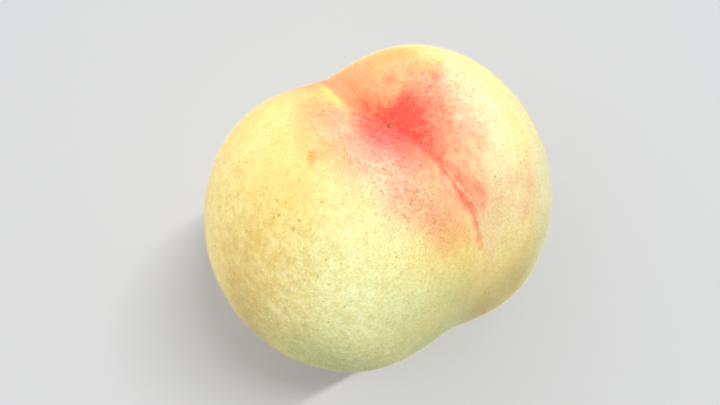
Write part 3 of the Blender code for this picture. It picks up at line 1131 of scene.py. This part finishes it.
def make_camera():
    """The camera, looking down at the fruit from where the photograph was taken."""
    data = bpy.data.cameras.new("camera")
    data.sensor_width = SENSOR_WIDTH_MM
    data.lens = LENS_MM
    data.clip_start = CAMERA_CLIP_START
    camera = add_object("camera", data)
    level = math.cos(CAMERA_ELEVATION)
    back = Vector((
        math.sin(CAMERA_AZIMUTH) * level,
        -math.cos(CAMERA_AZIMUTH) * level,
        math.sin(CAMERA_ELEVATION),
    ))
    camera.location = Vector(CAMERA_AIM) + CAMERA_DISTANCE * back
    camera.rotation_euler = (-back).to_track_quat("-Z", "Y").to_euler()
    bpy.context.scene.camera = camera


def make_key_light(target):
    """A far strip light that stands up, so shadows are crisp sideways and fade out lengthways."""
    data = bpy.data.lights.new("key", "AREA")
    data.shape = "RECTANGLE"
    data.size = KEY_WIDTH
    data.size_y = KEY_LENGTH
    data.energy = KEY_WATTS
    light = add_object("key", data)
    level = math.cos(KEY_HEIGHT)
    way = Vector((math.cos(KEY_WAY) * level, math.sin(KEY_WAY) * level, math.sin(KEY_HEIGHT)))
    light.location = target + KEY_DISTANCE * way
    light.rotation_euler = (-way).to_track_quat("-Z", "Y").to_euler()
    light.visible_camera = False


def make_room_light():
    """Soft light from all round, brighter from one side and low down, behind a plain backdrop."""
    world = bpy.data.worlds.new("room")
    bpy.context.scene.world = world
    world.use_nodes = True
    tree = Tree(world.node_tree)
    shown = world.node_tree.nodes["Background"]
    shown.inputs["Color"].default_value = BACKDROP
    room = tree.put("ShaderNodeBackground")
    room.inputs["Color"].default_value = (1.0, 1.0, 1.0, 1.0)
    way = tree.put("ShaderNodeTexCoord").outputs["Generated"]
    bright_way = (math.cos(ROOM_BRIGHT_WAY), math.sin(ROOM_BRIGHT_WAY), 0)
    facing = tree.vector_math("DOT_PRODUCT", way, bright_way, "Value")
    parts = tree.put("ShaderNodeSeparateXYZ")
    tree.feed(parts.inputs[0], way)
    height_squared = tree.math("MULTIPLY", parts.outputs["Z"], parts.outputs["Z"])
    low = tree.math("SUBTRACT", ROOM_EVEN_HEIGHT_SQUARED, height_squared)
    growth = tree.math("MULTIPLY", facing, ROOM_LEVEL * ROOM_GROWTH)
    growth = tree.math("ADD", growth, tree.math("MULTIPLY", low, ROOM_LEVEL * ROOM_LOWNESS))
    tree.feed(room.inputs["Strength"], tree.math("ADD", growth, ROOM_LEVEL))
    seen = tree.put("ShaderNodeMixShader")
    tree.feed(seen.inputs[0], tree.put("ShaderNodeLightPath").outputs["Is Camera Ray"])
    tree.feed(seen.inputs[1], room.outputs[0])
    tree.feed(seen.inputs[2], shown.outputs[0])
    tree.feed(world.node_tree.nodes["World Output"].inputs["Surface"], seen.outputs[0])


def make_floor():
    """A plain pale floor."""
    mesh = bpy.data.meshes.new("floor")
    corners = [(FLOOR_HALF * x, FLOOR_HALF * y, 0) for x, y in ((-1, -1), (1, -1), (1, 1), (-1, 1))]
    mesh.from_pydata(corners, [], [(0, 1, 2, 3)])
    mesh.materials.append(new_material("floor", FLOOR_SETTINGS)[0])
    floor = add_object("floor", mesh)


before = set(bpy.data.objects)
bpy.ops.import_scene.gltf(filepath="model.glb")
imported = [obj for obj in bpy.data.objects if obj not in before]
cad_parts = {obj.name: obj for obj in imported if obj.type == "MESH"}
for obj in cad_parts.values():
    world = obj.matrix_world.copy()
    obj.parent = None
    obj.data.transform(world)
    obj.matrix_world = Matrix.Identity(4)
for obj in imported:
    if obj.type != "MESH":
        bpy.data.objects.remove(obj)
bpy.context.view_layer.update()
bpy.context.scene.view_settings.view_transform = "Standard"
low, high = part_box("peach")
make_camera()
make_key_light((low + high) / 2)
make_room_light()
make_floor()

skin = make_skin(low, high)
skin.data.materials.append(skin_material(skin))
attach(skin, "root")
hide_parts("peach")

scar = make_flower_scar(skin)
scar.data.materials.append(flower_scar_material())
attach(scar, "root")

random = np.random.default_rng(SEED)
hair = down_material()
for number in range(1, DOWN_PIECES + 1):
    down = make_down(skin, f"down_{number}", random)
    down.data.materials.append(hair)
    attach(down, "root")
